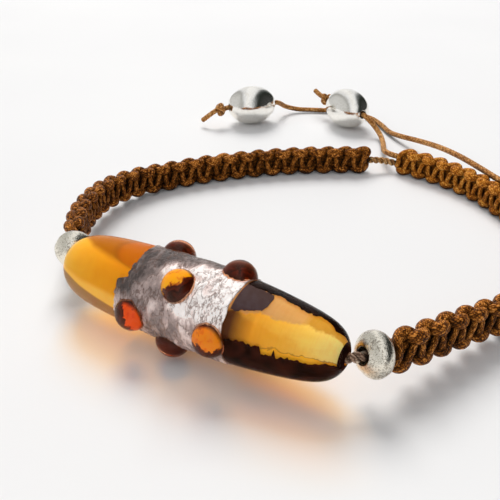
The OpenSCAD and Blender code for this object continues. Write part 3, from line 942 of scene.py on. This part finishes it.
def dome(ring, degrees, radius, rise):
    """Closed lens that stands on the glass bead: its crown is part of a ball, its foot the bead."""
    rows, around = 20, 56
    x, out, up = dot_frame(ring, degrees)
    foot_r = float(glass_r(x)) - 0.04 * MM
    centre = float(glass_r(x)) + rise - radius
    turn = 2 * np.pi * np.arange(around) / around
    low = np.zeros(around)
    high = np.full(around, radius)
    for _ in range(30):
        half = (low + high) / 2
        crown = centre + np.sqrt(np.clip(radius ** 2 - half ** 2, 0, None))
        bead = np.sqrt(foot_r ** 2 - (half * np.sin(turn)) ** 2)
        inside = crown > bead
        low, high = np.where(inside, half, low), np.where(inside, high, half)
    reach = (low + high) / 2
    share = np.sin(np.linspace(0.03, 1, rows) * np.pi / 2)[:, None]
    across = share * reach[None, :]
    along_x = across * np.cos(turn)[None, :]
    along_up = across * np.sin(turn)[None, :]
    crown = centre + np.sqrt(np.clip(radius ** 2 - across ** 2, 0, None))
    foot = np.sqrt(foot_r ** 2 - along_up ** 2)
    crown[-1] = np.maximum(crown[-1], foot[-1])

    def place(height):
        return (BEAD_MIDDLE + (x + along_x)[..., None] * ALONG_BEAD
                + along_up[..., None] * up + height[..., None] * out)

    return np.vstack([place(foot), place(crown)[::-1]])


def glass_dots(glass, hearts):
    """Raised dots: a clear dark-amber dome over a heart of painted light and shade that lies on the leaf.
    """
    for i, (ring, degrees, bright, amount, look) in enumerate(DOTS, start=1):
        node = f"glass_dot_{i}"
        Shape().grid(dome(ring, degrees, DOT_R, DOT_RISE)).build(node + "_dome", glass, "dot_glass", node)
        shape = Shape().grid(dome(ring, degrees, HEART_R, HEART_RISE))
        x, _, up = dot_frame(ring, degrees)
        turn = math.radians(bright)
        way = math.cos(turn) * ALONG_BEAD + math.sin(turn) * up
        piece = shape.build(node + "_heart", hearts[look], "dot_glass")
        from_middle = np.vstack(shape.points) - BEAD_MIDDLE - x * ALONG_BEAD
        shift = 0.5 * (from_middle @ way) / DOT_R + amount
        reach = np.hypot(from_middle[:, 0], from_middle @ up) / HEART_RIM
        loops = np.zeros(len(piece.data.loops), dtype=np.int32)
        piece.data.loops.foreach_get("vertex_index", loops)
        uvs = np.stack([shift[loops], reach[loops]], axis=1)
        piece.data.uv_layers["along"].data.foreach_set("uv", uvs.astype(np.float32).ravel())


def end_knot(node, at, direction, material):
    """Overhand knot pulled tight: one closed strand of three lobes about the cord."""
    x, y, z = axes(direction)
    t = np.linspace(0, 2 * np.pi, 121)[:-1]
    a = KNOT_SIZE * (np.sin(t) + 2 * np.sin(2 * t))
    b = KNOT_SIZE * (np.cos(t) - 2 * np.cos(2 * t))
    c = -KNOT_SIZE * 1.5 * np.sin(3 * t)
    line = route(at) + a[:, None] * y + b[:, None] * z + c[:, None] * x
    line = np.vstack([line, line[:2]])
    relief = braid_relief(cells_per_mm=1.5, carriers=3, depth=0.06)
    shape = Shape().tube(line, KNOT_STRAND_R, 12, relief)
    return shape.build(node + "_look", material, "tail_cord", node)


def point_at(thing, place, way):
    """Puts a camera or lamp in its place and turns it in a direction."""
    thing.location = place
    thing.rotation_mode = "QUATERNION"
    thing.rotation_quaternion = way.to_track_quat("-Z", "Y")


def make_camera():
    """Camera at the photograph's viewing angle."""
    data = bpy.data.cameras.new("view")
    data.sensor_width = 36.0
    data.lens = CAMERA_LENS
    data.clip_start = 0.005
    data.clip_end = 20.0
    camera = add_object("view", data)
    point_at(camera, CAMERA_AT, CAMERA_LOOK)
    bpy.context.scene.camera = camera


def make_floor():
    """Pale board that the bracelet lies on."""
    corners = [(x * FLOOR_HALF, y * FLOOR_HALF, 0) for x, y in ((-1, -1), (1, -1), (1, 1), (-1, 1))]
    mesh = bpy.data.meshes.new("floor")
    mesh.from_pydata(corners, [], [(0, 1, 2, 3)])
    mesh.materials.append(floor_material("pale_board"))
    floor = add_object("floor", mesh)


def make_window():
    """Broad soft lamp, which shows in no reflection."""
    data = bpy.data.lights.new("window", "AREA")
    data.shape = "RECTANGLE"
    data.size, data.size_y = WINDOW_SIZE
    data.energy = WINDOW_WATTS
    data.color = WINDOW_COLOUR
    lamp = add_object("window", data)
    lamp.visible_glossy = False
    lamp.visible_transmission = False
    point_at(lamp, WINDOW_AT, -WINDOW_AT)


def make_sky():
    """Bright band of sky overhead from front to back, with a dim room left of it and a dark one
    right. Seen directly, the backdrop is plain and pale."""
    world = bpy.data.worlds.new("room")
    bpy.context.scene.world = world
    world.use_nodes = True
    nodes, links = world.node_tree.nodes, world.node_tree.links
    nodes.clear()
    place = nodes.new("ShaderNodeTexCoord")
    aside = nodes.new("ShaderNodeVectorMath")
    aside.operation = "DOT_PRODUCT"
    aside.inputs[1].default_value = SKY_ACROSS
    away = nodes.new("ShaderNodeMapRange")
    away.inputs["From Min"].default_value = -1.0
    ramp = nodes.new("ShaderNodeValToRGB")
    set_stops(ramp.color_ramp, SKY_STOPS)
    sky = nodes.new("ShaderNodeBackground")
    sky.inputs["Strength"].default_value = SKY_STRENGTH
    plain = nodes.new("ShaderNodeBackground")
    plain.inputs["Color"].default_value = BACKDROP
    path = nodes.new("ShaderNodeLightPath")
    seen = nodes.new("ShaderNodeMixShader")
    out = nodes.new("ShaderNodeOutputWorld")
    links.new(place.outputs["Generated"], aside.inputs[0])
    links.new(aside.outputs["Value"], away.inputs["Value"])
    links.new(away.outputs["Result"], ramp.inputs[0])
    links.new(ramp.outputs[0], sky.inputs["Color"])
    links.new(path.outputs["Is Camera Ray"], seen.inputs[0])
    links.new(sky.outputs[0], seen.inputs[1])
    links.new(plain.outputs[0], seen.inputs[2])
    links.new(seen.outputs[0], out.inputs["Surface"])
    bpy.context.scene.view_settings.view_transform = "Standard"


make_camera()

band_cord = cord_material(
    "band_cord", (0.025, 0.006, 0.001), (0.26, 0.075, 0.007), (0.7, 0.26, 0.045),
    shine=0.16)
slide_cord = cord_material(
    "slide_cord", (0.13, 0.028, 0.002), (0.58, 0.185, 0.015), (0.93, 0.4, 0.07),
    shine=0.14)
tail_look = cord_material(
    "tail_cord", (0.16, 0.05, 0.01), (0.62, 0.26, 0.065), (0.92, 0.5, 0.19),
    shine=0.2, carriers=9)
core_look = cord_material(
    "core_cord", (0.14, 0.08, 0.055), (0.5, 0.33, 0.23), (0.85, 0.65, 0.5),
    cells_per_mm=1.4, carriers=5, shine=0.15)
gap_look = cord_material(
    "gap_cord", (0.16, 0.06, 0.02), (0.55, 0.27, 0.09), (0.9, 0.55, 0.25),
    cells_per_mm=1.4, carriers=5, shine=0.15)

silver = silver_material(
    "worn_silver", (0.86, 0.81, 0.7), (0.2, 0.16, 0.11),
    smoothest=0.1, roughest=0.26, tarnish=0.65, dents=0.05 * MM)
polish = silver_material(
    "polished_silver", (0.93, 0.91, 0.86), (0.6, 0.55, 0.45),
    smoothest=0.06, roughest=0.16, tarnish=0.25, dents=0.015 * MM)
amber = glass_material(
    "amber_glass", tint=(1.0, 0.95, 0.84), shade=(1.0, 0.88, 0.5), absorb=(1.0, 0.72, 0.16),
    density=110.0, ior=1.09, gloss=0.15)
dark_amber = glass_material(
    "dark_amber", tint=(0.8, 0.42, 0.22), shade=(0.9, 0.4, 0.12), absorb=(1.0, 0.3, 0.04),
    density=110.0, ior=1.25, gloss=0.5)
honey = honey_material("honey_glass")
# Sheets inside the glass: black and dark ones of painted shade, a mauve one of painted reflection.
black_painted_shade = painted_sheet_material("black_painted_shade", (0.004, 0.002, 0.002), (0.02, 0.007, 0.005), 500.0)
dark_painted_shade = painted_sheet_material("dark_painted_shade", (0.012, 0.004, 0.003), (0.06, 0.016, 0.01), 500.0)
painted_mauve_reflection = painted_sheet_material("painted_mauve_reflection", (0.085, 0.062, 0.09), (0.06, 0.035, 0.04), 350.0)
leaf = leaf_material("silver_leaf")
dot_hearts = {look: heart_material("dot_" + look, *colours) for look, colours in DOT_COLOURS.items()}

for end, points, length in (("a", TAIL_A_ROUTE, TAIL_A_LENGTH), ("b", TAIL_B_ROUTE, TAIL_B_LENGTH)):
    bead_at, bead_way = OVALS["oval_bead_" + end]
    knot_at, knot_way = END_KNOTS["end_knot_" + end]
    bead = drilled_bead("oval_bead_" + end, bead_at, bead_way, OVAL_LEN, OVAL_R, OVAL_BORE_R, polish,
                        "polished_silver", dents=0.03 * MM, seed=7.0)
    knot = end_knot("end_knot_" + end, knot_at, knot_way, tail_look)
    tail, line = tail_cord("tail_" + end, points, tail_look)

make_floor()
make_window()
make_sky()

glass_body(amber)
honey_core(honey)
right_end_painted_sheets(black_painted_shade, dark_painted_shade, painted_mauve_reflection)
silver_sleeve(leaf)
glass_dots(dark_amber, dot_hearts)
for node, (at, way) in SPACERS.items():
    drilled_bead(node, at, way, SPACER_LEN, SPACER_R, SPACER_BORE_R, silver, "silver",
                 dents=0.08 * MM, seed=len(node))
twisted_cord("core_front", CORE_FRONT_ROUTE, core_look)
twisted_cord("core_left", CORE_LEFT_ROUTE, gap_look)
twisted_cord("core_right", CORE_RIGHT_ROUTE, gap_look)
knotted_band("band_left", LEFT_ROUTE, LEFT_HALF_KNOTS, band_cord)
knotted_band("band_right", RIGHT_ROUTE, RIGHT_HALF_KNOTS, band_cord)
knotted_band("slide_knot", SLIDE_ROUTE, SLIDE_HALF_KNOTS, slide_cord)
